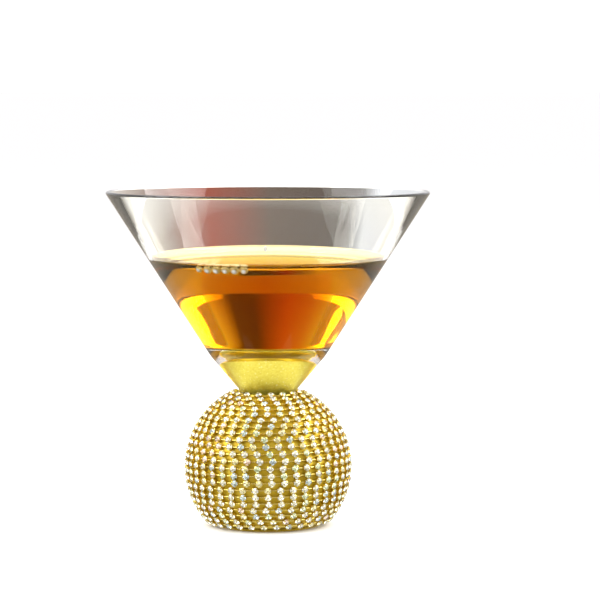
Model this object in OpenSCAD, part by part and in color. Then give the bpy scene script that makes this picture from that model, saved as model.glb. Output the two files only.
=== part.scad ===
// Martini glass on a ball foot wound with rhinestone cup chain.
// The glass stands on z = 0 with its axis on the Z axis.

/* [Bowl] */
// Outside diameter of the rim
rim_d = 110; // [90:1:125]
// Height of the rim above the table
total_h = 114; // [106:1:125]
// Angle of the bowl's side from upright
side_angle = 32.6; // [31:0.1:34]
// Height of the edge where the bowl meets the neck
bowl_foot_z = 57.8; // [56:0.1:60]
// Thickness of the bowl's wall, square to its face
wall = 1.2; // [1:0.1:2.4]
// Height of the inside floor of the bowl
floor_z = 61.8; // [61.6:0.1:64]
// Radius of the rounded corner round that floor
floor_fillet = 4; // [2:0.5:6]

/* [Neck and ball] */
// Outside radius of the neck where it meets the ball
neck_r = 9.2; // [8:0.1:9.4]
// Height of that joint
neck_z = 45.6; // [45.4:0.1:46]
// Outside radius of the glass ball
ball_r = 26.6; // [26:0.1:26.7]
// Height of the ball's centre
ball_z = 20.3; // [20.2:0.1:21]
// Thickness of the ball's glass
ball_wall = 2.7; // [2:0.1:4]
// Inside radius of the neck at its top
neck_bore_top_r = 11.3; // [9:0.1:12]
// Inside radius of the neck at its joint with the ball
neck_bore_foot_r = 5.7; // [5:0.1:7]
// Height of the top of the neck's hollow
neck_bore_top_z = 60.6; // [57:0.1:60.8]

/* [Gold] */
// Thickness of the gold lacquer inside the hollow
lining_t = 0.25; // [0.15:0.05:0.5]
// Thickness of the gold wrap outside the ball
wrap_t = 0.28; // [0.2:0.01:0.3]
// Radius of the base disc
disc_r = 18.2; // [16:0.1:18.5]
// Thickness of the base disc
disc_t = 1.2; // [0.8:0.1:1.3]

/* [Cup chain] */
// Number of turns that the chain makes round the ball
turns = 21.5; // [18:0.5:21.5]
// Direction of the chain's start round the axis, from +X
start_angle = 185; // [0:5:355]
// Latitude of the chain's start, at the foot of the ball
start_lat = -42; // [-42:1:-38]
// Latitude of the chain's end, at the neck
end_lat = 66; // [60:1:66]
// Distance from stone to stone along the chain
stone_pitch = 4.3; // [4:0.1:5]
// Diameter of a stone at its girdle
stone_d = 2.3; // [1.8:0.02:2.3]
// Height of a stone's crown above its girdle
crown_h = 0.5; // [0.3:0.05:0.6]
// Depth of a stone's point below its girdle
pavilion_h = 0.95; // [0.8:0.05:1]
// Thickness of a cup's metal
cup_t = 0.04; // [0.02:0.01:0.04]
// How much narrower a cup is at its foot than at its mouth
cup_taper = 0.22; // [0.16:0.02:0.26]
// Height of a cup
cup_h = 1.34; // [1.2:0.02:1.4]
// Diameter of the link between two cups
link_d = 0.64; // [0.4:0.02:0.8]

/* [Hidden] */
$fn = 96;
fine = 32;
neck_root = 1.5;
bore_start_z = ball_z + 0.75 * ball_r;
bore_top_bevel = 1.2;
lining_gap = 0.02;
lining_foot_z = 5;
wrap_r = ball_r + wrap_t;
wrap_gap = 0.02;
wrap_foot_z = disc_t + 0.1;
wrap_neck_gap = 0.5;
disc_edge = 0.3;
rim_round = wall / 2;
rim_centre_r = rim_d / 2 - rim_round;
rim_centre_z = total_h - rim_round;
cup_base_r = wrap_r + 0.02;
cup_floor_t = 0.2;
cup_mouth_gap = 0.02;
cup_mouth_r = stone_d / 2 + cup_mouth_gap;
cup_d = 2 * (cup_mouth_r + cup_t);
cup_foot_d = cup_d - cup_taper;
girdle_t = 0.08;
girdle_drop = 0.1;
girdle_r = cup_base_r + cup_h - girdle_drop;
table_ratio = 0.55;
link_lift = 0.62;
link_r = cup_base_r + link_lift;
link_gap = 0.04;
lat_per_turn = (end_lat - start_lat) / turns;
lat_per_degree = lat_per_turn / 360;
rise_per_stone = lat_per_degree * stone_pitch / girdle_r;
stone_count = floor((sin(end_lat) - sin(start_lat)) / rise_per_stone);
turn_count = ceil(turns);

function chain_name(t) = str("cup_chain_turn_", t);
function crystals_name(t) = str("crystals_turn_", t);

// Radius of the bowl's wall at a height: 1 is its outside face, -1 its inside face
function side_r(z, face) =
    rim_centre_r + (z - rim_centre_z) * tan(side_angle) + face * rim_round / cos(side_angle);

// Points of an arc in the (radius, height) plane
function arc(r, z, radius, from, to, steps) =
    [for (i = [0 : steps])
        let (a = from + (to - from) * i / steps)
        [r + radius * cos(a), z + radius * sin(a)]];

// The chain climbs evenly, so equal steps along it are equal steps in the sine of the latitude
function stone_lat(n) = asin(sin(start_lat) + n * rise_per_stone);
function stone_turn(n) = floor((stone_lat(n) - start_lat) / lat_per_turn) + 1;
function stone_angle(n) = start_angle + (stone_lat(n) - start_lat) / lat_per_degree;
function stones_of(t) = [for (n = [0 : stone_count - 1]) if (stone_turn(n) == t) n];

// Places its children on the ball's surface direction, +Z outwards
module on_ball(lat, angle) {
    translate([0, 0, ball_z]) rotate([0, 90 - lat, angle]) children();
}

module glass_body() {
    fillet_z = floor_z + floor_fillet;
    fillet_r = side_r(floor_z, -1) - floor_fillet * tan((90 - side_angle) / 2);
    profile = concat(
        [[0, neck_z - neck_root], [neck_r, neck_z - neck_root], [neck_r, neck_z]],
        [[side_r(bowl_foot_z, 1), bowl_foot_z]],
        arc(rim_centre_r, rim_centre_z, rim_round, -side_angle, 180 - side_angle, 8),
        arc(fillet_r, fillet_z, floor_fillet, -side_angle, -90, 6),
        [[0, floor_z]]);
    color("aliceblue", 0.4) difference() {
        union() {
            rotate_extrude() polygon(profile);
            translate([0, 0, ball_z]) sphere(r = ball_r);
        }
        hollow(0);
        translate([0, 0, disc_t - ball_r]) cylinder(r = ball_r, h = ball_r);
    }
}

// The closed hollow of the ball and neck, drawn in by a gap on every side
module hollow(gap) {
    bore_slope = (neck_bore_top_r - neck_bore_foot_r) / (neck_bore_top_z - neck_z);
    start_r = neck_bore_foot_r - (neck_z - bore_start_z) * bore_slope;
    translate([0, 0, ball_z]) sphere(r = ball_r - ball_wall - gap);
    rotate_extrude() polygon([
        [0, bore_start_z],
        [start_r - gap, bore_start_z],
        [neck_bore_top_r - gap, neck_bore_top_z - bore_top_bevel],
        [neck_bore_top_r - bore_top_bevel - gap, neck_bore_top_z - gap],
        [0, neck_bore_top_z - gap]]);
}

module gold_lining() {
    color("gold") difference() {
        hollow(lining_gap);
        hollow(lining_gap + lining_t);
        translate([0, 0, lining_foot_z - ball_r]) cylinder(r = ball_r, h = ball_r);
    }
}

module gold_wrap() {
    color("goldenrod") difference() {
        translate([0, 0, ball_z]) sphere(r = wrap_r);
        translate([0, 0, ball_z]) sphere(r = ball_r + wrap_gap);
        translate([0, 0, ball_z]) cylinder(r = neck_r + wrap_neck_gap, h = 2 * ball_r);
        translate([0, 0, wrap_foot_z - ball_r]) cylinder(r = ball_r, h = ball_r);
    }
}

module base_disc() {
    color("goldenrod") rotate_extrude() polygon([
        [0, 0], [disc_r - disc_edge, 0], [disc_r, disc_edge], [disc_r, disc_t - disc_edge],
        [disc_r - disc_edge, disc_t], [0, disc_t]]);
}

// One cup, standing on its foot, open upwards
module cup() {
    foot_r = cup_foot_d / 2;
    rotate_extrude() polygon([
        [0, 0], [foot_r, 0], [cup_d / 2, cup_h], [cup_mouth_r, cup_h],
        [foot_r - cup_t, cup_floor_t], [0, cup_floor_t]]);
}

// The link that follows stone n, level with the middle of the two cups that it joins
module chain_link(n) {
    lat = (stone_lat(n) + stone_lat(n + 1)) / 2;
    angle = (stone_angle(n) + stone_angle(n + 1)) / 2;
    tilt = atan(lat_per_degree / cos(lat));
    link_h = stone_pitch * link_r / girdle_r - (cup_d + cup_foot_d) / 2 - 2 * link_gap;
    on_ball(lat, angle)
        translate([0, 0, link_r])
        rotate([0, 0, -tilt])
        rotate([90, 0, 0])
        cylinder(d = link_d, h = link_h, center = true, $fn = fine);
}

module cup_chain_turn(t) {
    color("gold") for (n = stones_of(t)) {
        on_ball(stone_lat(n), stone_angle(n)) translate([0, 0, cup_base_r]) cup($fn = fine);
        if (n < stone_count - 1) chain_link(n);
    }
}

// One pointed-back stone with its girdle at z = 0
module crystal() {
    r = stone_d / 2;
    rotate_extrude() polygon([
        [0, -pavilion_h], [r, -girdle_t / 2], [r, girdle_t / 2],
        [r * table_ratio, crown_h], [0, crown_h]]);
}

module crystals_turn(t) {
    color("white") for (n = stones_of(t))
        on_ball(stone_lat(n), stone_angle(n)) translate([0, 0, girdle_r]) crystal($fn = fine);
}

glass_body();
gold_lining();
gold_wrap();
base_disc();
for (t = [1 : turn_count]) {
    cup_chain_turn(t);
    crystals_turn(t);
}
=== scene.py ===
# %% [markdown]
# # A martini glass on a jewelled ball foot
#
# This lesson builds the looks of a cocktail glass: a cone of clear blown glass, the amber drink in it,
# a short neck with a gold core, and a ball foot wound with gold cup chain that holds clear crystals.
# The measured model is loaded first as a fixed frame. Every piece made here is placed in that frame, in
# metres.

# %% Load the frame
import math

import bmesh
import bpy
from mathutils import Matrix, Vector


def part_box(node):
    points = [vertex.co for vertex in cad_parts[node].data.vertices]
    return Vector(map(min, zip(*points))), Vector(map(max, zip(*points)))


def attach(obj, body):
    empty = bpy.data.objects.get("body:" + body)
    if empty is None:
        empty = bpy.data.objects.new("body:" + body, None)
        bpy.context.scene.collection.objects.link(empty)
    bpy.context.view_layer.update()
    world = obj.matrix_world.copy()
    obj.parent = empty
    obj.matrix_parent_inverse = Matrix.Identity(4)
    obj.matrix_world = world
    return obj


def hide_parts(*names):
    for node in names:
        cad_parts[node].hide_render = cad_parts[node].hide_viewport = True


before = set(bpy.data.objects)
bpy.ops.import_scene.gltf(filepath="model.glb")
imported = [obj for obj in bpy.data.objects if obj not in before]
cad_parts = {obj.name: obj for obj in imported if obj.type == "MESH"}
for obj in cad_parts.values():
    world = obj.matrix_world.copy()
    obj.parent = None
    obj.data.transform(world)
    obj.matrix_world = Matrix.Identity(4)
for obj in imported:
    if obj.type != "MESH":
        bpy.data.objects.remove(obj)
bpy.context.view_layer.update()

MM = 0.001
BODY = "root"

# %% [markdown]
# ## Sizes
#
# The rim and the height are read from the frame, so they can't drift away from it. The other sizes are the
# ones that a glass maker and a chain maker would quote. All of them are in millimetres, and they are turned
# into metres only when a mesh is made.

# %% Sizes in millimetres
RIM_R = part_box("glass_body")[1].x / MM
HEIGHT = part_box("glass_body")[1].z / MM
WALL = 1.2
SIDE_ANGLE = math.radians(32.6)
FOOT_EDGE_Z = 57.8
FLOOR_Z = 61.8
FLOOR_FILLET = 4.0
NECK_R, NECK_Z = 9.2, 45.6
BALL_R, BALL_Z, BALL_WALL = 26.6, 20.3, 2.7
DISC_T = 1.2
BORE_TOP_R, BORE_TOP_Z = 11.3, 60.6
BORE_MEETS_BALL_R = 4.99
LINING_T, LINING_FOOT_Z = 0.25, 5.0
WRAP_T, WRAP_GAP = 0.28, 0.02
DRINK_Z = 90.0

TURNS = 21.5
START_LAT, END_LAT = math.radians(-42), math.radians(66)
START_TURN = math.radians(185)
STONE_PITCH = 4.3
STONE_D, CROWN_H, PAVILION_H = 2.3, 0.5, 0.95
CUP_D, CUP_FOOT_D, CUP_H = 2.42, 2.2, 1.34
LINK_D, LINK_LIFT = 0.64, 0.62
GIRDLE_T, GIRDLE_DROP = 0.08, 0.1
CUP_SEAT_R = BALL_R + WRAP_T + WRAP_GAP
GIRDLE_R = CUP_SEAT_R + CUP_H - GIRDLE_DROP
LINK_R = CUP_SEAT_R + LINK_LIFT
print(f"rim radius {RIM_R:.1f}, height {HEIGHT:.1f}")


# %% [markdown]
# ## Small helpers
#
# Colours are written as sRGB hex, the way a paint card gives them, and turned to linear light in one place.
# One function adds a shader or geometry node, fills its inputs and links it, so that each material below
# reads as a short recipe. Inputs are given by name or by number. On a Map Range node, 0 is the value, 1 and
# 2 are the range that it comes in, and 3 and 4 are the range that it leaves with. On a Mix node for colours,
# 0 is the share of the second colour, and 6 and 7 are the two colours.

# %% Helper: colours and nodes
def linear(hex_colour):
    """Linear RGBA of an sRGB hex colour."""
    parts = [int(hex_colour[i : i + 2], 16) / 255 for i in (1, 3, 5)]
    return (*[c / 12.92 if c <= 0.04045 else ((c + 0.055) / 1.055) ** 2.4 for c in parts], 1.0)


def add_node(tree, kind, inputs=None, **settings):
    """Add a node, set its properties, and fill or link its inputs by name or number."""
    node = tree.nodes.new(kind)
    for name, value in settings.items():
        setattr(node, name, value)
    for name, value in (inputs or {}).items():
        if isinstance(value, bpy.types.NodeSocket):
            tree.links.new(value, node.inputs[name])
        else:
            node.inputs[name].default_value = value
    return node


def new_material(name):
    """A material with an empty Principled shader: returns the material, its tree and the shader."""
    material = bpy.data.materials.new(name)
    material.use_nodes = True
    tree = material.node_tree
    return material, tree, tree.nodes["Principled BSDF"]


def ramp_stops(node, stops):
    """Give a colour ramp these (position, hex colour) stops."""
    ramp = node.color_ramp
    while len(ramp.elements) < len(stops):
        ramp.elements.new(0.5)
    for element, (position, colour) in zip(ramp.elements, stops):
        element.position = position
        element.color = linear(colour)


print("helpers ready; mid grey is", round(linear("#808080")[0], 3))


# %% [markdown]
# Everything round on this glass is a lathe shape: an outline of (radius, height) points that is turned about
# the axis. An outline may start and end on the axis, or close on itself. Doing this in mesh code keeps the
# points exactly where the outline says, which matters for glass, because each small error in a curve shows
# as a bent reflection.

# %% Helper: lathe an outline
def arc(r, z, radius, start, end, steps):
    """Points of an arc in the (radius, height) plane, angles in degrees."""
    turns = [math.radians(start + (end - start) * i / steps) for i in range(steps + 1)]
    return [(r + radius * math.cos(a), z + radius * math.sin(a)) for a in turns]


def lathe(name, outline, segments=160, closed=False, sharp=28):
    """Turn an outline in millimetres into a closed round mesh object."""
    mesh = bpy.data.meshes.new(name)
    bm = bmesh.new()
    rings = []
    for r, z in outline:
        if r == 0:
            rings.append([bm.verts.new((0, 0, z * MM))])
            continue
        angles = [2 * math.pi * i / segments for i in range(segments)]
        rings.append([bm.verts.new((r * MM * math.cos(a), r * MM * math.sin(a), z * MM)) for a in angles])
    pairs = list(zip(rings, rings[1:]))
    if closed:
        pairs.append((rings[-1], rings[0]))
    for low, high in pairs:
        for i in range(segments):
            j = (i + 1) % segments
            corners = [low[i % len(low)], low[j % len(low)], high[j % len(high)], high[i % len(high)]]
            corners = list(dict.fromkeys(corners))
            if len(corners) > 2:
                bm.faces.new(corners)
    bmesh.ops.recalc_face_normals(bm, faces=bm.faces)
    bm.to_mesh(mesh)
    bm.free()
    mesh.shade_smooth()
    mesh.set_sharp_from_angle(angle=math.radians(sharp))
    piece = bpy.data.objects.new(name, mesh)
    bpy.context.scene.collection.objects.link(piece)
    return piece


def wear(piece, material, slot, *nodes):
    """Give a piece its material, fix it to the glass's body and hide the frame nodes it stands for; the slot
    is not used.
    """
    piece.data.materials.clear()
    piece.data.materials.append(material)
    settle(piece, slot, *nodes)


def settle(piece, slot, *nodes):
    """Fix a piece to the glass's body and hide the frame nodes that it stands for; the slot is not used."""
    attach(piece, BODY)
    if nodes:
        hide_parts(*nodes)
    print(f"{piece.name}: {len(piece.data.polygons)} faces")


def side_r(z, face=0.0):
    """Radius of the bowl's wall at a height: face 1 is outside, -1 inside, 0 its middle."""
    middle = RIM_R - WALL / 2 + (z - HEIGHT + WALL / 2) * math.tan(SIDE_ANGLE)
    return middle + face * WALL / 2 / math.cos(SIDE_ANGLE)


print("the bowl's inside radius at the drink is", round(side_r(DRINK_Z, -1), 1), "mm")

# %% [markdown]
# ## The camera
#
# A long lens, a little above the glass and looking slightly down. It is set before the pieces, so that each
# one can be judged as it is made.

# %% Camera
CAMERA_DISTANCE, CAMERA_HEIGHT, CAMERA_SIDE = 1.0, 0.1499, 0.0109
LOOK_DOWN = math.radians(4.175)
camera_data = bpy.data.cameras.new("camera")
camera_data.lens = 176.7
camera_data.sensor_width = 36
camera_data.clip_end = 200
camera = bpy.data.objects.new("camera", camera_data)
camera.location = (CAMERA_SIDE, -CAMERA_DISTANCE, CAMERA_HEIGHT)
camera.rotation_euler = (math.pi / 2 - LOOK_DOWN, 0, 0)
bpy.context.scene.collection.objects.link(camera)
bpy.context.scene.camera = camera
bpy.context.scene.view_settings.view_transform = "Standard"
print("camera at", tuple(round(c, 3) for c in camera.location))

# %% [markdown]
# ## The floor and the light
#
# Glass has hardly any colour of its own, so it is drawn by what stands round it. A plain pale floor and a
# pale sky give it a clean surround. Large soft lamps at both sides, two low and two high, put long
# highlights on the gold. What mirrors see is set apart from that. In them the sky is dim on the side that
# the lens looks from, which draws the dark points in the crystals. Below the horizon it is darker still and
# the floor is hidden, because a white floor would lay a milky veil over the lower face of the bowl.

# %% Floor
floor_mesh = bpy.data.meshes.new("floor")
FLOOR_HALF = 60.0
floor_corners = [(x * FLOOR_HALF, y * FLOOR_HALF, 0) for x, y in ((-1, -1), (1, -1), (1, 1), (-1, 1))]
floor_mesh.from_pydata(floor_corners, [], [(0, 1, 2, 3)])
floor = bpy.data.objects.new("floor", floor_mesh)
bpy.context.scene.collection.objects.link(floor)
floor_paint, _, shader = new_material("matt_white_floor_paint")
shader.inputs["Base Color"].default_value = linear("#F6F5F3")
shader.inputs["Roughness"].default_value = 0.9
shader.inputs["Specular IOR Level"].default_value = 0.2
floor_mesh.materials.append(floor_paint)
floor.visible_glossy = False
print("floor laid")

# %% Sky: pale all round, in mirrors dim on the side of the lens and dark below
world = bpy.data.worlds.new("studio")
bpy.context.scene.world = world
world.use_nodes = True
tree = world.node_tree
sky = tree.nodes["Background"]
direction = add_node(tree, "ShaderNodeTexCoord").outputs["Generated"]
split = add_node(tree, "ShaderNodeSeparateXYZ", {0: direction})
front = add_node(tree, "ShaderNodeMapRange", {0: split.outputs["Y"], 1: -1.0, 2: -0.6})
shade = add_node(tree, "ShaderNodeValToRGB", {0: front.outputs[0]})
ramp_stops(shade, [(0.0, "#8E8A86"), (1.0, "#E0DFE2")])
below = add_node(tree, "ShaderNodeMapRange", {0: split.outputs["Z"], 1: -1.0, 2: 0.1})
ground = add_node(tree, "ShaderNodeValToRGB", {0: below.outputs[0]})
ramp_stops(ground, [(0.2, "#221C16"), (0.5, "#A79F92")])
level = add_node(tree, "ShaderNodeMapRange", {0: split.outputs["Z"], 1: -0.1, 2: 0.1})
mirrored = add_node(
    tree,
    "ShaderNodeMix",
    {0: level.outputs[0], 6: ground.outputs[0], 7: shade.outputs[0]},
    data_type="RGBA",
)
in_mirror = add_node(tree, "ShaderNodeLightPath").outputs["Is Glossy Ray"]
sky_colour = add_node(
    tree, "ShaderNodeMix", {0: in_mirror, 6: linear("#F2F1F3"), 7: mirrored.outputs[2]}, data_type="RGBA"
)
tree.links.new(sky_colour.outputs[2], sky.inputs["Color"])
sky.inputs["Strength"].default_value = 1.25
print("sky made")


# %% Lamps
def soft_lamp(name, place, aim, width, height, power):
    """A large rectangular lamp that points at a place, sizes in metres."""
    lamp_data = bpy.data.lights.new(name, "AREA")
    lamp_data.shape = "RECTANGLE"
    lamp_data.size = width
    lamp_data.size_y = height
    lamp_data.energy = power
    lamp = bpy.data.objects.new(name, lamp_data)
    lamp.location = place
    lamp.rotation_euler = (Vector(aim) - Vector(place)).to_track_quat("-Z", "Y").to_euler()
    bpy.context.scene.collection.objects.link(lamp)


AIM = (0, 0, 0.05)
soft_lamp("left_lamp", (-0.9, -0.35, 0.55), AIM, 0.6, 0.9, 9)
soft_lamp("right_lamp", (0.95, -0.2, 0.5), AIM, 0.5, 0.9, 8)
soft_lamp("upper_left_lamp", (-0.6, 0.25, 0.95), AIM, 0.6, 0.6, 7)
soft_lamp("upper_right_lamp", (0.6, 0.25, 0.95), AIM, 0.6, 0.6, 7)

# %% [markdown]
# What stands behind clear glass gives it its tone, so tinted cards stand behind and above the bowl, where
# only light that has passed through the glass sees them. They glow, and their colours are painted light
# and shade: the tones of a room that the glass and the drink show. One holds soft rose, umber and white
# behind the empty part. A strip of glowing amber above it is what the liquid's surface shows. A third hangs
# high up, amber at its ends and dark umber between, which is the direction that the wedge of liquid bends
# the view to. The last is a plain pale patch under the foot that only mirrors see. It gives the lower rows
# of stones the brightness that a white table gives them.

# %% Tinted cards
CARD_EDGE = 0.0001


def tinted_card(name, place, aim, width, height, stops, strength=1.0, fade=0.0, seen_by="transmission"):
    """A glowing card that one kind of ray sees; its colours run across it and fade to white at its foot."""
    half_w, half_h = width / 2, height / 2
    corners = [(-half_w, -half_h, 0), (half_w, -half_h, 0), (half_w, half_h, 0), (-half_w, half_h, 0)]
    mesh = bpy.data.meshes.new(name)
    mesh.from_pydata(corners, [], [(0, 1, 2, 3)])
    card = bpy.data.objects.new(name, mesh)
    card.location = place
    card.rotation_euler = (Vector(place) - Vector(aim)).to_track_quat("-Z", "Y").to_euler()
    bpy.context.scene.collection.objects.link(card)
    # The card's material glows: its colours are painted light and shade, seen only by one kind of ray.
    material, tree, _ = new_material(name + "_painted_glow")
    on_card = add_node(tree, "ShaderNodeTexCoord").outputs["Object"]
    split = add_node(tree, "ShaderNodeSeparateXYZ", {0: on_card})
    along = add_node(tree, "ShaderNodeMapRange", {0: split.outputs["X"], 1: -half_w, 2: half_w})
    colour = add_node(tree, "ShaderNodeValToRGB", {0: along.outputs[0]})
    ramp_stops(colour, stops)
    fade_top = -half_h + fade + CARD_EDGE
    rise = add_node(tree, "ShaderNodeMapRange", {0: split.outputs["Y"], 1: -half_h, 2: fade_top})
    tints = {0: rise.outputs[0], 6: linear("#FFFFFF"), 7: colour.outputs[0]}
    shown = add_node(tree, "ShaderNodeMix", tints, data_type="RGBA")
    glow = add_node(tree, "ShaderNodeEmission", {"Color": shown.outputs[2], "Strength": strength})
    tree.links.new(glow.outputs[0], tree.nodes["Material Output"].inputs["Surface"])
    mesh.materials.append(material)
    for ray in ("camera", "diffuse", "glossy", "transmission", "shadow"):
        setattr(card, "visible_" + ray, ray == seen_by)


BACK_STOPS = [
    (0.0, "#E2D8C6"),
    (0.17, "#A8938A"),
    (0.32, "#A6462C"),
    (0.5, "#665448"),
    (0.74, "#4A4039"),
    (0.8, "#F2F6FF"),
    (0.9, "#E6E8F2"),
    (1.0, "#F2EBCB"),
]
tinted_card("card_behind", (-0.004, 0.50, 0.048), (-0.004, 0, 0.048), 0.200, 0.104, BACK_STOPS, 1.0, 0.04)
GLOW_STOPS = [(0.0, "#F6DC7C"), (0.5, "#DEA23A"), (1.0, "#F6DC7C")]
tinted_card("card_glowing", (0.0, 0.50, 0.160), (0, 0, 0.160), 0.30, 0.118, GLOW_STOPS)
HIGH_STOPS = [
    (0.0, "#E6DC84"),
    (0.25, "#CC8A3C"),
    (0.42, "#C06424"),
    (0.6, "#563218"),
    (0.73, "#563218"),
    (0.82, "#BFA04C"),
    (1.0, "#FFFAC0"),
]
tinted_card("card_above", (-0.02, 0.55, 0.42), (-0.02, 0, 0.42), 0.56, 0.36, HIGH_STOPS, 1.4)
PALE_STOPS = [(0.0, "#F6F5F3"), (1.0, "#F6F5F3")]
tinted_card("table_sheen", (0, 0, -0.002), (0, 0, 1), 0.076, 0.076, PALE_STOPS, seen_by="glossy")
print("cards placed")

# %% [markdown]
# ## Clear glass
#
# The bowl, neck and hollow ball are one piece of soda-lime glass, blown and fire-polished, so its skin is
# as smooth as a liquid's. A lathe outline gives its two skins, its round rim and its thick floor. The
# finish is a plain refracting shader. Blown glass is never quite true, so a very weak ripple bends its
# reflections a little.
#
# The same glass gets four finishes. Above the drink it has the slight haze that handling leaves. Where the
# drink wets it, it has a thin amber film and no mirror of its own, because the drink's face already gives
# one. Towards the drink's surface that film also scatters a little yellow light, a painted glow along the
# drink's edge. Its thick floor is quite clear, and the rest is plain.

# %% Finishes: fire-polished soda-lime glass
def clear_finish(name, tint, ior, ripple_mm, strength, shine="#FFFFFF", haze=0.0):
    """A clear refracting finish with a weak ripple; shine scales its mirror, haze scatters a little light."""
    material, tree, shader = new_material(name)
    place = add_node(tree, "ShaderNodeTexCoord").outputs["Object"]
    waves = {"Vector": place, "Scale": 1 / (ripple_mm * MM), "Detail": 1.0}
    ripple = add_node(tree, "ShaderNodeTexNoise", waves)
    bump = {"Height": ripple.outputs[0], "Strength": strength, "Distance": 0.5 * MM}
    tree.links.new(add_node(tree, "ShaderNodeBump", bump).outputs[0], shader.inputs["Normal"])
    shader.inputs["Base Color"].default_value = linear(tint)
    shader.inputs["Roughness"].default_value = 0.0
    shader.inputs["IOR"].default_value = ior
    shader.inputs["Specular Tint"].default_value = linear(shine)
    shader.inputs["Transmission Weight"].default_value = 1.0 - haze
    return material


GLASS_IOR, RIPPLE_MM = 1.52, 14.0
polished_glass = clear_finish(
    "fire_polished_soda_lime_glass", "#FAFAFA", GLASS_IOR, RIPPLE_MM, 0.04, shine="#585858"
)
hazed_glass = clear_finish(
    "soda_lime_glass_with_handling_haze", "#FBFAF5", GLASS_IOR, RIPPLE_MM, 0.03, shine="#909090", haze=0.014
)
floor_glass = clear_finish("thick_soda_lime_glass_floor", "#FAFAFA", GLASS_IOR, RIPPLE_MM, 0.0)
wetted_glass = clear_finish(
    "soda_lime_glass_under_liquid", "#FFE68C", GLASS_IOR, RIPPLE_MM, 0.0, shine="#000000"
)
tree = wetted_glass.node_tree
shader = tree.nodes["Principled BSDF"]
# Over these heights the film turns a deeper yellow and scatters up to 7% of its light: a painted glow along
# the drink's edge.
FILM_AND_GLOW_FOOT_Z, FILM_AND_GLOW_TOP_Z = 85, 91
place = add_node(tree, "ShaderNodeTexCoord").outputs["Object"]
up = add_node(tree, "ShaderNodeSeparateXYZ", {0: place}).outputs["Z"]
film_and_glow_rise = add_node(tree, "ShaderNodeMapRange", {0: up, 1: FILM_AND_GLOW_FOOT_Z * MM, 2: FILM_AND_GLOW_TOP_Z * MM}).outputs[0]
film_and_glow_tints = {0: film_and_glow_rise, 6: linear("#FFE68C"), 7: linear("#FFD878")}
film_and_glow_tint = add_node(tree, "ShaderNodeMix", film_and_glow_tints, data_type="RGBA").outputs[2]
tree.links.new(film_and_glow_tint, shader.inputs["Base Color"])
clear_under_painted_glow = add_node(tree, "ShaderNodeMapRange", {0: film_and_glow_rise, 3: 1.0, 4: 0.93}).outputs[0]
tree.links.new(clear_under_painted_glow, shader.inputs["Transmission Weight"])
print(polished_glass.name, "hazed above the drink, wetted below it")

# %% Glass body
CREEP_H, CREEP_W = 1.7, 1.4
EDGE_H, EDGE_IN, NECK_EDGE_IN = 0.5, 0.05, 0.45
NECK_FOOT_H, NECK_GAP = 0.3, 0.2
BEVEL, BEVEL_MIDDLE_IN, BEVEL_MIDDLE_H = 1.2, 0.35, 0.4


def bore_edge(gap=0.0):
    """The rounded top edge of the neck's hollow, drawn in by a gap."""
    return [
        (BORE_TOP_R - gap, BORE_TOP_Z - BEVEL),
        (BORE_TOP_R - BEVEL_MIDDLE_IN - gap, BORE_TOP_Z - BEVEL_MIDDLE_H),
        (BORE_TOP_R - BEVEL - gap, BORE_TOP_Z - gap),
    ]


angle = math.degrees(SIDE_ANGLE)
wet_top = DRINK_Z + CREEP_H
fillet_r = side_r(FLOOR_Z, -1) - FLOOR_FILLET * math.tan((math.pi / 2 - SIDE_ANGLE) / 2)
bowl_inside = [(0, FLOOR_Z)] + arc(fillet_r, FLOOR_Z + FLOOR_FILLET, FLOOR_FILLET, -90, -angle, 10)
bowl_inside += [(side_r(wet_top, -1), wet_top)]
rim = arc(RIM_R - WALL / 2, HEIGHT - WALL / 2, WALL / 2, 180 - angle, -angle, 14)
bowl_outside = [(side_r(z, 1), z) for z in (wet_top, FOOT_EDGE_Z + EDGE_H)]
edge_r = side_r(FOOT_EDGE_Z, 1)
foot_edge = [(edge_r - EDGE_IN, FOOT_EDGE_Z), (edge_r - NECK_EDGE_IN, FOOT_EDGE_Z - EDGE_H)]
neck = [(NECK_R, NECK_Z), (NECK_R, NECK_Z - NECK_FOOT_H)]
ball_top = math.degrees(math.acos((NECK_R + NECK_GAP) / BALL_R))
ball_foot = math.degrees(math.asin((DISC_T - BALL_Z) / BALL_R))
ball_outside = arc(0, BALL_Z, BALL_R, ball_top, ball_foot, 40)
inner_r = BALL_R - BALL_WALL
inner_foot = math.degrees(math.asin((DISC_T - BALL_Z) / inner_r))
bore_lat = math.degrees(math.acos(BORE_MEETS_BALL_R / inner_r))
ball_inside = arc(0, BALL_Z, inner_r, inner_foot, bore_lat, 40)
outline = bowl_inside + rim + bowl_outside + foot_edge + neck
outline += ball_outside + ball_inside + bore_edge() + [(0, BORE_TOP_Z)]
blown_glass = lathe("blown_glass", outline, segments=192, sharp=50)
print("the drink wets the bowl up to", wet_top, "mm")

# %% Glass finishes, by place
NEAR, FLOOR_RISE = 0.1, 0.8
PLAIN, HAZED, WETTED, FLOOR = range(4)
for finish in (polished_glass, hazed_glass, wetted_glass, floor_glass):
    blown_glass.data.materials.append(finish)
for face in blown_glass.data.polygons:
    across = math.hypot(face.center.x, face.center.y) / MM
    face_z = face.center.z / MM
    if face_z > wet_top:
        face.material_index = HAZED
    elif FLOOR_Z - NEAR < face_z and across < side_r(face_z, -1) + NEAR:
        face.material_index = FLOOR if face_z < FLOOR_Z + FLOOR_RISE else WETTED
    else:
        face.material_index = PLAIN
settle(blown_glass, "clear_glass", "glass_body")

# %% [markdown]
# ## Gold core
#
# The hollow of the neck and ball is lined with gold lacquer. The solid glass round it works as a lens, so
# the slim gold core looks almost as wide as the neck. That only happens where the lacquer wets the glass
# with no air between, so its skin is set a hair into the glass. The lacquer is a bright lemon gold with
# fine flakes in it. They are drawn from a cell pattern half a millimetre across, which is coarser than
# real flake so that it shows.

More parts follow.
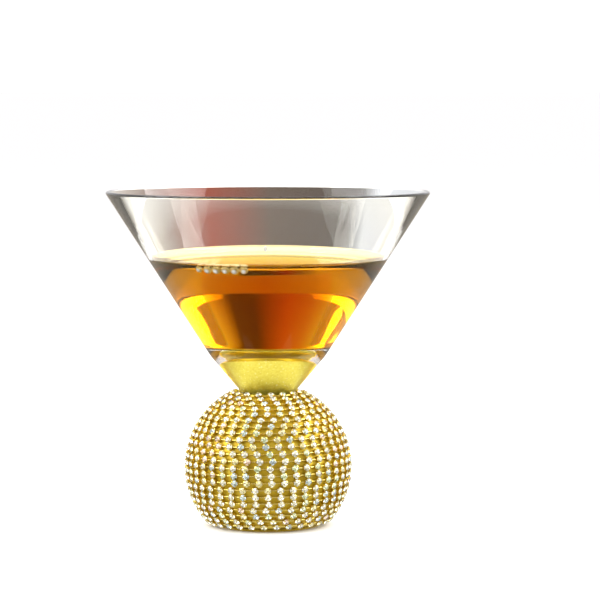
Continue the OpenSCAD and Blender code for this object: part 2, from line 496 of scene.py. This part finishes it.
# %% Finish: gold lacquer with fine flake
lacquer, tree, shader = new_material("flaked_gold_lacquer")
place = add_node(tree, "ShaderNodeTexCoord").outputs["Object"]
FLAKE_MM = 0.45
flakes = add_node(tree, "ShaderNodeTexVoronoi", {"Vector": place, "Scale": 1 / (FLAKE_MM * MM)})
tone = add_node(tree, "ShaderNodeValToRGB", {0: flakes.outputs["Color"]})
ramp_stops(tone, [(0.0, "#D8C63A"), (0.85, "#E6DA55"), (1.0, "#F8F2A8")])
tree.links.new(tone.outputs[0], shader.inputs["Base Color"])
flake_bump = {"Height": flakes.outputs["Distance"], "Strength": 0.12, "Distance": 0.05 * MM}
bump = add_node(tree, "ShaderNodeBump", flake_bump)
tree.links.new(bump.outputs[0], shader.inputs["Normal"])
shader.inputs["Metallic"].default_value = 0.45
shader.inputs["Roughness"].default_value = 0.32
print(lacquer.name)

# %% Gold core
INTO_GLASS = 0.03


def lining_skin(gap):
    """Outline of the hollow, drawn in by a gap, from the axis at its top down to its open foot."""
    foot_lat = math.degrees(math.asin((LINING_FOOT_Z - BALL_Z) / inner_r))
    top = [(0, BORE_TOP_Z - gap)] + bore_edge(gap)[::-1]
    return top + arc(0, BALL_Z, inner_r - gap, bore_lat, foot_lat, 40)


skin_outside = lining_skin(-INTO_GLASS)
skin_inside = lining_skin(LINING_T)
gold_core = lathe("gold_core", skin_outside + skin_inside[::-1], sharp=40)
wear(gold_core, lacquer, "gold_lacquer", "gold_lining")

# %% [markdown]
# ## Gold wrap
#
# A thin foil carrier covers the ball, and the chain is stuck to it. Between the stones it shows as a darker
# olive gold. The real foil is creased and has glue on it, so its colour drifts in patches of a few
# millimetres, and it is less shiny than the chain.

# %% Finish: satin gold foil
foil, tree, shader = new_material("satin_olive_gold_foil")
place = add_node(tree, "ShaderNodeTexCoord").outputs["Object"]
PATCH_MM, CREASE_MM = 5.0, 0.8
patches = add_node(tree, "ShaderNodeTexNoise", {"Vector": place, "Scale": 1 / (PATCH_MM * MM), "Detail": 3.0})
tone = add_node(tree, "ShaderNodeValToRGB", {0: patches.outputs[0]})
ramp_stops(tone, [(0.3, "#A98B10"), (0.5, "#C8A71F"), (0.7, "#DBC03C")])
tree.links.new(tone.outputs[0], shader.inputs["Base Color"])
folds = {"Vector": place, "Scale": 1 / (CREASE_MM * MM), "Detail": 2.0}
creases = add_node(tree, "ShaderNodeTexNoise", folds)
bump = add_node(tree, "ShaderNodeBump", {"Height": creases.outputs[0], "Strength": 0.3, "Distance": 0.1 * MM})
tree.links.new(bump.outputs[0], shader.inputs["Normal"])
shader.inputs["Metallic"].default_value = 0.55
shader.inputs["Roughness"].default_value = 0.45
print(foil.name)

# %% Gold wrap
WRAP_NECK_GAP, WRAP_FOOT_GAP = 0.5, 0.1
wrap_out_r = BALL_R + WRAP_T
wrap_top = math.degrees(math.acos((NECK_R + WRAP_NECK_GAP) / wrap_out_r))
wrap_foot = math.degrees(math.asin((DISC_T + WRAP_FOOT_GAP - BALL_Z) / wrap_out_r))
wrap_outside = arc(0, BALL_Z, wrap_out_r, wrap_top, wrap_foot, 56)
wrap_inside = arc(0, BALL_Z, BALL_R + WRAP_GAP, wrap_foot, wrap_top, 56)
ball_wrap = lathe("ball_wrap", wrap_outside + wrap_inside, closed=True, sharp=40)
wear(ball_wrap, foil, "gold_foil", "gold_wrap")

# %% [markdown]
# ## Gold-plated brass
#
# The cups, their links and the base disc are pressed brass with a bright gold plate. It is polished but
# slightly uneven, with the faint grain that a press tool leaves. The disc stands on tables, so its plate is
# scuffed and less shiny. Its much darker colour is painted shade, for the dark line under the lowest stones.

# %% Finishes: polished gold plate, and scuffed gold plate with painted shade
GRAIN_MM = 0.6


def gold_plating(name, low, high, dull, bright):
    """Gold plate whose colour and roughness drift with a fine grain."""
    material, tree, shader = new_material(name)
    place = add_node(tree, "ShaderNodeTexCoord").outputs["Object"]
    pressed = {"Vector": place, "Scale": 1 / (GRAIN_MM * MM), "Detail": 2.0}
    grain = add_node(tree, "ShaderNodeTexNoise", pressed)
    tone = add_node(tree, "ShaderNodeValToRGB", {0: grain.outputs[0]})
    ramp_stops(tone, [(0.3, low), (0.7, high)])
    tree.links.new(tone.outputs[0], shader.inputs["Base Color"])
    shine = add_node(tree, "ShaderNodeMapRange", {0: grain.outputs[0], 1: 0.3, 2: 0.7, 3: dull, 4: bright})
    tree.links.new(shine.outputs[0], shader.inputs["Roughness"])
    shader.inputs["Metallic"].default_value = 1.0
    return material


gold_plate = gold_plating("polished_gold_plated_brass", "#DFC250", "#F3E692", 0.3, 0.18)
# The disc's dark colour is painted shade for the dark line under the lowest row of stones.
scuffed_plate_painted_shade = gold_plating("scuffed_gold_plated_brass_painted_shade", "#7A6010", "#A08424", 0.5, 0.35)
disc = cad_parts["base_disc"]
disc.data.materials.clear()
disc.data.materials.append(scuffed_plate_painted_shade)
print(scuffed_plate_painted_shade.name, "on", disc.name)

# %% [markdown]
# ## Winding the chain
#
# The chain climbs the ball in an even spiral. On a ball, equal steps along such a spiral are equal steps
# in height, so the place of each stone follows from its number alone. That is a job for Geometry Nodes:
# the tree below takes one finished part as its geometry, works out the places from a few named sizes, and
# sets a copy at each. The same tree winds the cups, the links and the stones.

# %% Geometry tree: wind along the ball
LAT_PER_RADIAN = (END_LAT - START_LAT) / (TURNS * 2 * math.pi)
RISE = LAT_PER_RADIAN * STONE_PITCH / GIRDLE_R
STONES = math.floor((math.sin(END_LAT) - math.sin(START_LAT)) / RISE)

TREE_INPUTS = [
    ("Count", "NodeSocketInt"),
    ("Start step", "NodeSocketFloat"),
    ("Seat radius", "NodeSocketFloat"),
    ("Ball height", "NodeSocketFloat"),
    ("Start latitude", "NodeSocketFloat"),
    ("Rise per step", "NodeSocketFloat"),
    ("Latitude per radian", "NodeSocketFloat"),
    ("Start turn", "NodeSocketFloat"),
    ("Wobble", "NodeSocketFloat"),
    ("Seed", "NodeSocketInt"),
    ("Material", "NodeSocketMaterial"),
    ("Back material", "NodeSocketMaterial"),
]


def build_winding_tree():
    """The Geometry Nodes tree that sets copies of its geometry along the spiral."""
    tree = bpy.data.node_groups.new("wind_along_ball", "GeometryNodeTree")
    tree.interface.new_socket("Part", in_out="INPUT", socket_type="NodeSocketGeometry")
    for name, kind in TREE_INPUTS:
        tree.interface.new_socket(name, in_out="INPUT", socket_type=kind)
    tree.interface.new_socket("Wound", in_out="OUTPUT", socket_type="NodeSocketGeometry")
    given = add_node(tree, "NodeGroupInput").outputs

    def calc(operation, *values):
        inputs = dict(enumerate(values))
        return add_node(tree, "ShaderNodeMath", inputs, operation=operation).outputs[0]

    step = calc("ADD", add_node(tree, "GeometryNodeInputIndex").outputs[0], given["Start step"])
    start_sine = calc("SINE", given["Start latitude"])
    latitude = calc("ARCSINE", calc("MULTIPLY_ADD", step, given["Rise per step"], start_sine))
    climbed = calc("SUBTRACT", latitude, given["Start latitude"])
    turn = calc("ADD", calc("DIVIDE", climbed, given["Latitude per radian"]), given["Start turn"])
    level = calc("COSINE", latitude)
    east, north = calc("COSINE", turn), calc("SINE", turn)
    outward = {0: calc("MULTIPLY", level, east), 1: calc("MULTIPLY", level, north), 2: calc("SINE", latitude)}
    outward = add_node(tree, "ShaderNodeCombineXYZ", outward).outputs[0]
    along = {0: calc("MULTIPLY", north, -1.0), 1: east, 2: given["Latitude per radian"]}
    along = add_node(tree, "ShaderNodeCombineXYZ", along).outputs[0]
    centre = add_node(tree, "ShaderNodeCombineXYZ", {2: given["Ball height"]}).outputs[0]
    radius = add_node(tree, "ShaderNodeVectorMath", {0: outward, 3: given["Seat radius"]}, operation="SCALE")
    seat = add_node(tree, "ShaderNodeVectorMath", {0: radius.outputs[0], 1: centre}, operation="ADD")
    facing = add_node(
        tree, "FunctionNodeAxesToRotation", {0: outward, 1: along}, primary_axis="Z", secondary_axis="X"
    )
    least = calc("MULTIPLY", given["Wobble"], -1.0)
    low = add_node(tree, "ShaderNodeCombineXYZ", {k: least for k in range(3)})
    high = add_node(tree, "ShaderNodeCombineXYZ", {k: given["Wobble"] for k in range(3)})
    tilt = add_node(
        tree,
        "FunctionNodeRandomValue",
        {0: low.outputs[0], 1: high.outputs[0], "Seed": given["Seed"]},
        data_type="FLOAT_VECTOR",
    )
    tilt = add_node(tree, "FunctionNodeEulerToRotation", {0: tilt.outputs[0]})
    facing = add_node(
        tree,
        "FunctionNodeRotateRotation",
        {0: facing.outputs[0], 1: tilt.outputs[0]},
        rotation_space="LOCAL",
    )
    points = add_node(tree, "GeometryNodePoints", {"Count": given["Count"], "Position": seat.outputs[0]})
    copies = add_node(
        tree,
        "GeometryNodeInstanceOnPoints",
        {"Points": points.outputs[0], "Instance": given["Part"], "Rotation": facing.outputs[0]},
    )
    hue = add_node(
        tree, "FunctionNodeRandomValue", {2: 0.0, 3: 1.0, "Seed": given["Seed"]}, data_type="FLOAT"
    )
    copies = add_node(
        tree,
        "GeometryNodeStoreNamedAttribute",
        {"Geometry": copies.outputs[0], "Name": "hue", "Value": hue.outputs[1]},
        data_type="FLOAT",
        domain="INSTANCE",
    )
    real = add_node(tree, "GeometryNodeRealizeInstances", {0: copies.outputs[0]})
    faced = add_node(tree, "GeometryNodeSetMaterial", {0: real.outputs[0], "Material": given["Material"]})
    backs = add_node(tree, "GeometryNodeInputNamedAttribute", {"Name": "back"}, data_type="BOOLEAN")
    backed = add_node(
        tree,
        "GeometryNodeSetMaterial",
        {0: faced.outputs[0], "Selection": backs.outputs[0], "Material": given["Back material"]},
    )
    add_node(tree, "NodeGroupOutput", {0: backed.outputs[0]})
    return tree


winding_tree = build_winding_tree()
print(STONES, "stones in", TURNS, "turns;", len(winding_tree.nodes), "nodes in the tree")


# %% Helper: wind a part and turn the result into a plain mesh
SEED = 7
CUP_WOBBLE, STONE_WOBBLE = 0.03, 0.05


def wind(name, part, count, start_step, seat_radius, wobble, material, back_material=None):
    """Set copies of a part along the spiral, and return them as one plain mesh object."""
    sizes = {
        "Count": count,
        "Start step": start_step,
        "Seat radius": seat_radius * MM,
        "Ball height": BALL_Z * MM,
        "Start latitude": START_LAT,
        "Rise per step": RISE,
        "Latitude per radian": LAT_PER_RADIAN,
        "Start turn": START_TURN,
        "Wobble": wobble,
        "Seed": SEED,
        "Material": material,
        "Back material": back_material or material,
    }
    modifier = part.modifiers.new("wind", "NODES")
    modifier.node_group = winding_tree
    for item in winding_tree.interface.items_tree:
        if item.name in sizes:
            modifier[item.identifier] = sizes[item.name]
    bpy.context.view_layer.update()
    graph = bpy.context.evaluated_depsgraph_get()
    mesh = bpy.data.meshes.new_from_object(part.evaluated_get(graph), depsgraph=graph)
    mesh.name = name
    bpy.data.objects.remove(part)
    piece = bpy.data.objects.new(name, mesh)
    bpy.context.scene.collection.objects.link(piece)
    return piece


def part_from(name, bm):
    """A loose object from a bmesh, with its faces pointing outwards."""
    bmesh.ops.recalc_face_normals(bm, faces=bm.faces)
    mesh = bpy.data.meshes.new(name)
    bm.to_mesh(mesh)
    bm.free()
    part = bpy.data.objects.new(name, mesh)
    bpy.context.scene.collection.objects.link(part)
    return part


def ring(bm, radius, z, sides):
    """Vertices of a ring, sizes in millimetres."""
    angles = [2 * math.pi * i / sides for i in range(sides)]
    return [bm.verts.new((radius * MM * math.cos(a), radius * MM * math.sin(a), z * MM)) for a in angles]


def band(bm, low, high):
    """Faces between two rings of the same number of vertices."""
    after = [(i + 1) % len(low) for i in range(len(low))]
    return [bm.faces.new((low[i], low[j], high[j], high[i])) for i, j in enumerate(after)]


print("ready to wind")

# %% [markdown]
# ## Cups
#
# Each stone sits in a small pressed cup. Its wall is a plain tapered ring, and four prongs are bent in over
# the stone's edge. The prongs are what makes the round stones look square from a distance. The shape is
# repeated some seven hundred times, so it has only a few dozen faces.

# %% Cups
CUP_SIDES = 12
MOUTH_GAP = 0.02
CUP_FLOOR_R, CUP_FLOOR_Z = 0.75, 0.25
PRONG_R, PRONG_HALF_W, PRONG_DROP = CUP_D / 2 + MOUTH_GAP, 0.24, 0.5
TIP_R, TIP_RISE = 0.8, 0.24
TIP_UNDER_R, TIP_UNDER_RISE = 0.84, 0.06
cup = bmesh.new()
outer_foot = ring(cup, CUP_FOOT_D / 2, 0, CUP_SIDES)
outer_mouth = ring(cup, CUP_D / 2, CUP_H - GIRDLE_DROP, CUP_SIDES)
inner_mouth = ring(cup, STONE_D / 2 + MOUTH_GAP, CUP_H - GIRDLE_DROP, CUP_SIDES)
inner_foot = ring(cup, CUP_FLOOR_R, CUP_FLOOR_Z, CUP_SIDES)
for low, high in ((outer_foot, outer_mouth), (outer_mouth, inner_mouth), (inner_mouth, inner_foot)):
    band(cup, low, high)
cup.faces.new(outer_foot)
cup.faces.new(inner_foot)
profile = [
    (PRONG_R, CUP_H - PRONG_DROP),
    (PRONG_R, CUP_H),
    (TIP_R, CUP_H + TIP_RISE),
    (TIP_UNDER_R, CUP_H + TIP_UNDER_RISE),
]
for quarter in range(4):
    turn = math.radians(45 + 90 * quarter)
    across = Vector((-math.sin(turn), math.cos(turn), 0))
    out = Vector((math.cos(turn), math.sin(turn), 0))
    sides = []
    for half in (-PRONG_HALF_W, PRONG_HALF_W):
        sides.append([cup.verts.new((out * r + across * half + Vector((0, 0, z))) * MM) for r, z in profile])
    band(cup, sides[0], sides[1])
    cup.faces.new(sides[0])
    cup.faces.new(sides[1])
cup_chain = wind("cup_chain", part_from("cup", cup), STONES, 0.0, CUP_SEAT_R, CUP_WOBBLE, gold_plate)
chain_nodes = [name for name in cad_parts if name.startswith("cup_chain_turn")]
settle(cup_chain, "gold_plate", *chain_nodes)

# %% [markdown]
# ## Links
#
# A short round link joins each cup to the next. It lies half a step further along the spiral than the cup,
# so the same tree places it when it starts at half a step.

# %% Links
LINK_SIDES = 8
LINK_WAIST, LINK_OVERLAP = 0.8, 0.06
link_half = (STONE_PITCH * LINK_R / GIRDLE_R - (CUP_D + CUP_FOOT_D) / 2) / 2 + LINK_OVERLAP
link = bmesh.new()
waist_half = link_half * 0.5
stations = [(-link_half, 1.0), (-waist_half, LINK_WAIST), (waist_half, LINK_WAIST), (link_half, 1.0)]
rings = []
for x, thickness in stations:
    hoop = ring(link, LINK_D / 2 * thickness, 0, LINK_SIDES)
    for vertex in hoop:
        vertex.co = (x * MM, vertex.co.x, vertex.co.y)
    rings.append(hoop)
for low, high in zip(rings, rings[1:]):
    for face in band(link, low, high):
        face.smooth = True
link.faces.new(rings[0])
link.faces.new(rings[-1])
chain_links = wind("chain_links", part_from("link", link), STONES - 1, 0.5, LINK_R, 0.0, gold_plate)
settle(chain_links, "gold_plate")

# %% [markdown]
# ## Crystals
#
# Each stone is a pointed-back crystal: an eight-sided table, a sloping crown, a thin girdle and a point
# below. The point is silvered, so light comes in through the crown, is thrown about between the back
# facets and comes out again, and that is where the sparkle is from. The crown is clear lead-free crystal
# with a higher index than bottle glass. The back is bright silver foil, with a hint of a different colour
# in each stone, because the real ones split white light.

# %% Finish: crystal crown and silver-foiled back
crystal_glass, tree, shader = new_material("cut_crystal_glass")
shader.inputs["Base Color"].default_value = linear("#FDFCF3")
shader.inputs["IOR"].default_value = 1.58
shader.inputs["Transmission Weight"].default_value = 1.0
place = add_node(tree, "ShaderNodeTexCoord").outputs["Object"]
SMEAR_MM = 0.5
smear = add_node(tree, "ShaderNodeTexNoise", {"Vector": place, "Scale": 1 / (SMEAR_MM * MM)})
rough = add_node(tree, "ShaderNodeMapRange", {0: smear.outputs[0], 3: 0.0, 4: 0.06})
tree.links.new(rough.outputs[0], shader.inputs["Roughness"])

silver_foil, tree, shader = new_material("silver_foiled_stone_back")
hue = add_node(tree, "ShaderNodeAttribute", attribute_name="hue").outputs["Fac"]
tone = add_node(tree, "ShaderNodeValToRGB", {0: hue})
tone.color_ramp.interpolation = "CONSTANT"
HUES = [(0.0, "#FDFDF6"), (0.45, "#F4FCE4"), (0.6, "#FDF8D6"), (0.75, "#FDECE2"), (0.87, "#E9F4FA")]
ramp_stops(tone, HUES)
tree.links.new(tone.outputs[0], shader.inputs["Base Color"])
shader.inputs["Metallic"].default_value = 0.85
shader.inputs["Roughness"].default_value = 0.12
print(crystal_glass.name, "and", silver_foil.name)

# %% Crystals
FACETS = 8
TABLE_RATIO = 0.55
stone = bmesh.new()
r = STONE_D / 2
table = ring(stone, r * TABLE_RATIO, CROWN_H, FACETS)
girdle_top = ring(stone, r, GIRDLE_T / 2, FACETS * 2)
girdle_foot = ring(stone, r, -GIRDLE_T / 2, FACETS * 2)
point = stone.verts.new((0, 0, -PAVILION_H * MM))
stone.faces.new(table)
for i in range(FACETS):
    after = (i + 1) % FACETS
    corner = [girdle_top[(2 * i + k) % (2 * FACETS)] for k in (-1, 0, 1, 2)]
    stone.faces.new((table[i], corner[1], corner[2]))
    stone.faces.new((table[i], corner[2], table[after]))
    stone.faces.new((table[after], corner[2], corner[3]))
band(stone, girdle_top, girdle_foot)
round_foot = zip(girdle_foot, girdle_foot[1:] + girdle_foot[:1])
backs = [stone.faces.new((here, beside, point)) for here, beside in round_foot]
stone.faces.index_update()
back_faces = [face.index for face in backs]
crystal = part_from("crystal", stone)
back_layer = crystal.data.attributes.new("back", "BOOLEAN", "FACE")
for index in back_faces:
    back_layer.data[index].value = True
crystals = wind("crystals", crystal, STONES, 0.0, GIRDLE_R, STONE_WOBBLE, crystal_glass, silver_foil)
crystal_nodes = [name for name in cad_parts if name.startswith("crystals_turn")]
settle(crystals, "crystal", *crystal_nodes)

# %% [markdown]
# ## The drink
#
# The drink is not a part of the glass, but the glass is shown full. It is one closed solid that reaches a
# hair into the glass wall, because a gap of air between liquid and glass would show as a silver film. Its
# surface creeps up the wall in a small curve. Apart from the film on the glass, colour comes from depth:
# light loses its blue first and its green next, so the thin edges look lemon and the deep middle goes from
# orange to brown.

# %% Finish: amber spirit
amber = clear_finish("amber_spirit", "#FFFFFF", 1.36, 20.0, 0.03, shine="#303030")
tree = amber.node_tree
depth = {"Color": (0.93, 0.79, 0.0, 1.0), "Density": 90.0}
depth_colour = add_node(tree, "ShaderNodeVolumeAbsorption", depth)
tree.links.new(depth_colour.outputs[0], tree.nodes["Material Output"].inputs["Volume"])
print(amber.name)

# %% Drink
INTO_WALL = 0.06
foot = arc(fillet_r, FLOOR_Z + FLOOR_FILLET, FLOOR_FILLET + INTO_WALL, -90, -angle, 10)
wall_r = side_r(wet_top, -1) + INTO_WALL
creep = []
CREEP_STEPS, CREEP_REACH, CROWDING = 9, 4, 1.6
for i in range(CREEP_STEPS + 1):
    inwards = CREEP_REACH * CREEP_W * (i / CREEP_STEPS) ** CROWDING
    creep.append((wall_r - inwards, DRINK_Z + CREEP_H * math.exp(-inwards / CREEP_W)))
drink = lathe("drink", [(0, FLOOR_Z - INTO_WALL)] + foot + creep + [(0, DRINK_Z)], segments=192, sharp=60)
wear(drink, amber, "clear_glass")

# %% [markdown]
# A short string of bubbles clings to the glass where the drink was poured, and one drop is left on the
# wall above it. A bubble is a film of liquid round air, so each is drawn as a thin closed shell.

# %% Bubbles and a drop
FILM_T, BUBBLE_SIDES, BUBBLE_BANDS = 0.12, 20, 12


def bubble(bm, r, z, turn, radius, hollow=True, squash=1.0):
    """A ball, or a thin shell, at a radius, a height and a turn in degrees; sizes in millimetres."""
    around = math.radians(turn)
    centre = Vector((r * math.cos(around), r * math.sin(around), z)) * MM
    for size in (radius, radius - FILM_T) if hollow else (radius,):
        made = bmesh.ops.create_uvsphere(
            bm, u_segments=BUBBLE_SIDES, v_segments=BUBBLE_BANDS, radius=size * MM
        )
        for vertex in made["verts"]:
            vertex.co = centre + Vector((vertex.co.x, vertex.co.y, vertex.co.z * squash))
        if size < radius:
            faces = {face for vertex in made["verts"] for face in vertex.link_faces}
            bmesh.ops.reverse_faces(bm, faces=list(faces))


froth = bmesh.new()
POUR_TURN, STEP = 234.2, 4.9
INTO_FILM, SINK = 1.05, 0.1
INNER_ROW_IN, INNER_ROW_RISE, INNER_ROW_SHIFT = 3.4, 0.3, 0.4
drink_r = side_r(DRINK_Z, -1)
for n, radius in enumerate((1.2, 1.45, 1.5, 1.45, 1.55, 1.4)):
    bubble(froth, drink_r - INTO_FILM * radius, DRINK_Z - SINK * radius, POUR_TURN + n * STEP, radius)
for n, radius in enumerate((0.8, 0.9, 0.85, 1.0, 0.8)):
    turn = POUR_TURN + (n + INNER_ROW_SHIFT) * STEP
    bubble(froth, drink_r - INNER_ROW_IN, DRINK_Z + INNER_ROW_RISE, turn, radius)
DROP_Z, DROP_TURN, DROP_RADIUS, DROP_SQUASH, DROP_IN = 97.0, 269.5, 0.6, 1.7, 0.1
drop_r = side_r(DROP_Z, -1) - DROP_IN
bubble(froth, drop_r, DROP_Z, DROP_TURN, DROP_RADIUS, hollow=False, squash=DROP_SQUASH)
# The faces of a ready-made sphere are listed in another order on each run, so they are sorted by two corners.
froth.verts.index_update()
corners = len(froth.verts)
froth.faces.sort(key=lambda face: face.verts[0].index * corners + face.verts[2].index)
froth_mesh = bpy.data.meshes.new("drink_bubbles")
froth.to_mesh(froth_mesh)
froth.free()
froth_mesh.shade_smooth()
drink_bubbles = bpy.data.objects.new("drink_bubbles", froth_mesh)
bpy.context.scene.collection.objects.link(drink_bubbles)
# The film scatters six tenths of its light as plain white: a painted sheen for the bright rims and glints of
# real bubbles, on the drop too.
bubble_film_painted_sheen = clear_finish("bubble_film_painted_sheen", "#FFFFFF", 1.33, 6.0, 0.02, haze=0.6)
wear(drink_bubbles, bubble_film_painted_sheen, "clear_glass")
